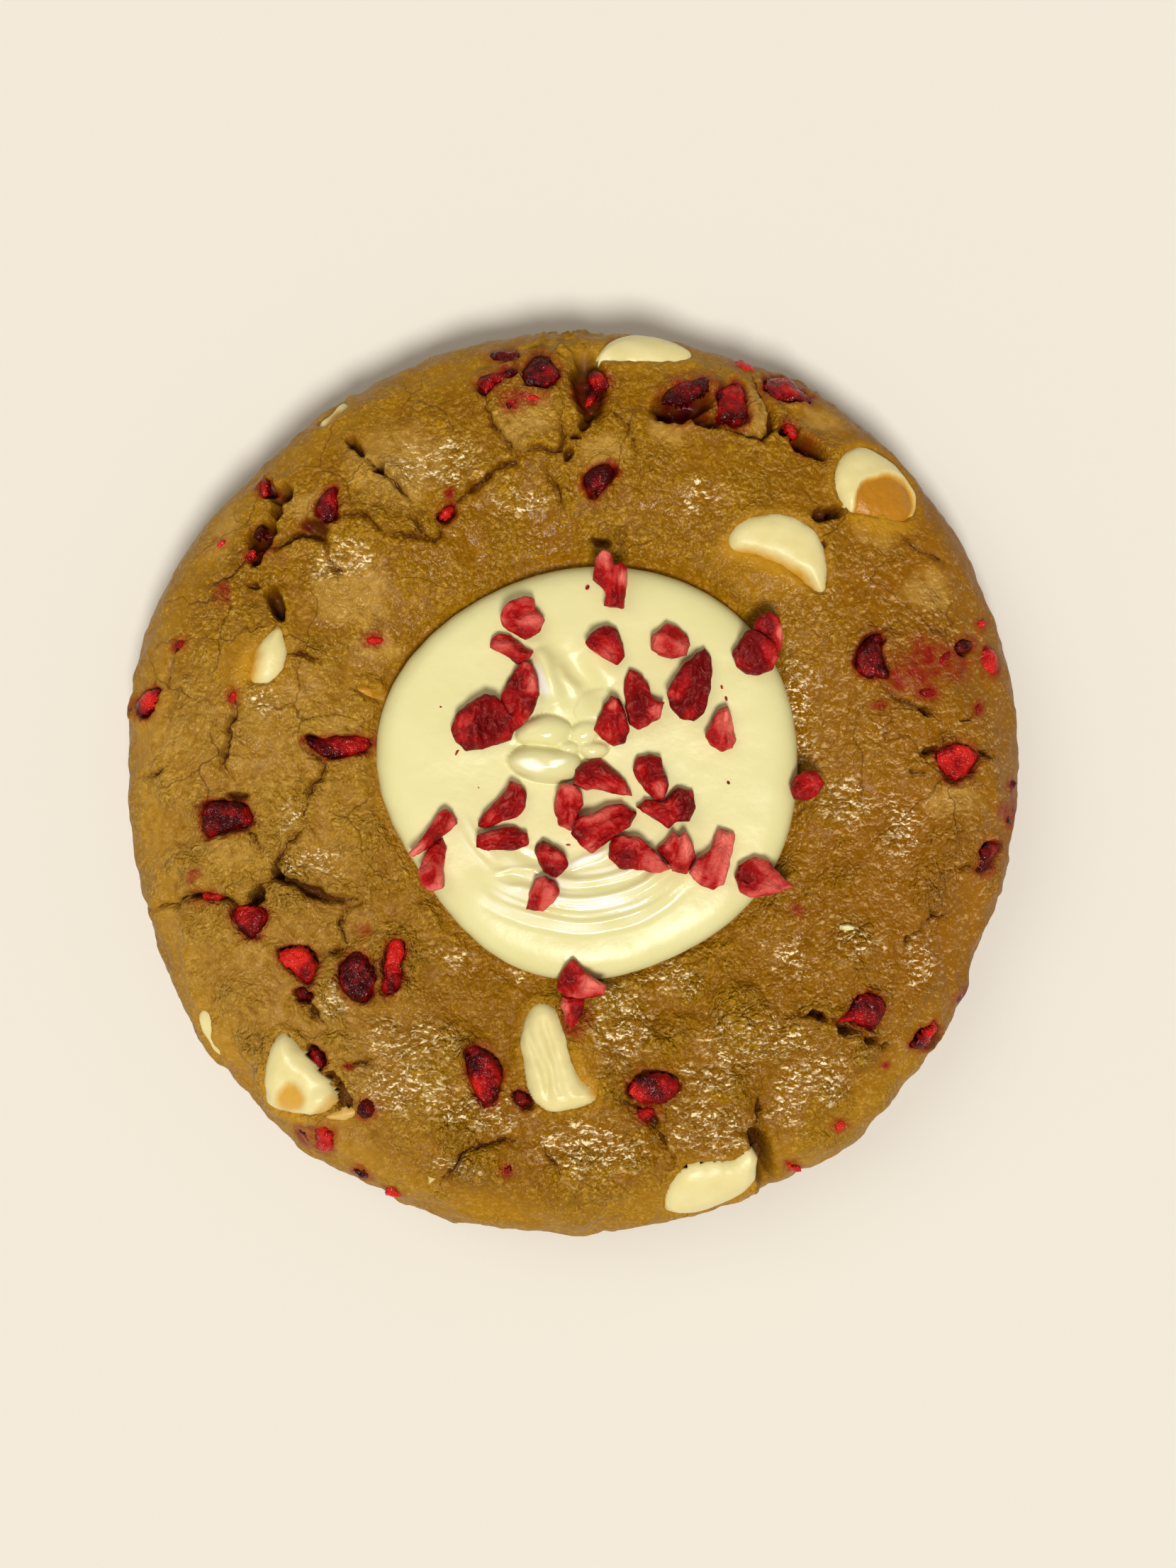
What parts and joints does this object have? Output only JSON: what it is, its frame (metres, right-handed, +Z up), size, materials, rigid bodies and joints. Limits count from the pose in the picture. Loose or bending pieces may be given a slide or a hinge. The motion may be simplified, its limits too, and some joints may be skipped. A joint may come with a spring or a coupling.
{
  "type": "white chocolate raspberry cookie",
  "caption": "Thick round baked cookie with a poured white chocolate centre under dried raspberry pieces, and chocolate chips and raspberry baked into its cracked top.",
  "frame": {"origin": "middle of the flat underside, on the surface the cookie lies on", "axes": "+Z up through the thickness, top side up, +Y away from the viewer, +X to the viewer's right"},
  "size_m": [0.0976, 0.0986, 0.0233],
  "materials": {
    "baked_dough": "golden brown baked cookie dough, cracked and crinkled, buttery sheen on top, matte at the rim",
    "white_chocolate": "poured white chocolate, cream coloured, smooth and glossy with spoon marks",
    "chip_chocolate": "white chocolate chips, pale cream, satin, melted golden where the dough covers them",
    "dried_raspberry": "freeze-dried raspberry, matte and finely wrinkled, deep red to pink",
    "baked_raspberry": "baked raspberry, wet and dark wine red with brighter red drupelets"
  },
  "bodies": {
    "root": {"cookie_dough": "baked_dough", "white_chocolate_filling": "white_chocolate", "white_chocolate_chip_01": "chip_chocolate", "white_chocolate_chip_02": "chip_chocolate", "white_chocolate_chip_03": "chip_chocolate", "white_chocolate_chip_04": "chip_chocolate", "white_chocolate_chip_05": "chip_chocolate", "white_chocolate_chip_06": "chip_chocolate", "white_chocolate_chip_07": "chip_chocolate", "white_chocolate_chip_08": "chip_chocolate", "white_chocolate_chip_09": "chip_chocolate", "raspberry_topping_01": "dried_raspberry", "raspberry_topping_02": "dried_raspberry", "raspberry_topping_03": "dried_raspberry", "raspberry_topping_04": "dried_raspberry", "raspberry_topping_05": "dried_raspberry", "raspberry_topping_06": "dried_raspberry", "raspberry_topping_07": "dried_raspberry", "raspberry_topping_08": "dried_raspberry", "raspberry_topping_09": "dried_raspberry", "raspberry_topping_10": "dried_raspberry", "raspberry_topping_11": "dried_raspberry", "raspberry_topping_12": "dried_raspberry", "raspberry_topping_13": "dried_raspberry", "raspberry_topping_14": "dried_raspberry", "raspberry_topping_15": "dried_raspberry", "raspberry_topping_16": "dried_raspberry", "raspberry_topping_17": "dried_raspberry", "raspberry_topping_18": "dried_raspberry", "raspberry_topping_19": "dried_raspberry", "raspberry_topping_20": "dried_raspberry", "raspberry_topping_21": "dried_raspberry", "raspberry_topping_22": "dried_raspberry", "raspberry_topping_23": "dried_raspberry", "raspberry_topping_24": "dried_raspberry", "raspberry_topping_25": "dried_raspberry", "raspberry_topping_26": "dried_raspberry", "raspberry_topping_27": "dried_raspberry", "raspberry_topping_28": "dried_raspberry", "raspberry_baked_in_01": "baked_raspberry", "raspberry_baked_in_02": "baked_raspberry", "raspberry_baked_in_03": "baked_raspberry", "raspberry_baked_in_04": "baked_raspberry", "raspberry_baked_in_05": "baked_raspberry", "raspberry_baked_in_06": "baked_raspberry", "raspberry_baked_in_07": "baked_raspberry", "raspberry_baked_in_08": "baked_raspberry", "raspberry_baked_in_09": "baked_raspberry", "raspberry_baked_in_10": "baked_raspberry", "raspberry_baked_in_11": "baked_raspberry", "raspberry_baked_in_12": "baked_raspberry", "raspberry_baked_in_13": "baked_raspberry", "raspberry_baked_in_14": "baked_raspberry", "raspberry_baked_in_15": "baked_raspberry", "raspberry_baked_in_16": "baked_raspberry", "raspberry_baked_in_17": "baked_raspberry", "raspberry_baked_in_18": "baked_raspberry", "raspberry_baked_in_19": "baked_raspberry", "raspberry_baked_in_20": "baked_raspberry"}
  },
  "joints": []
}
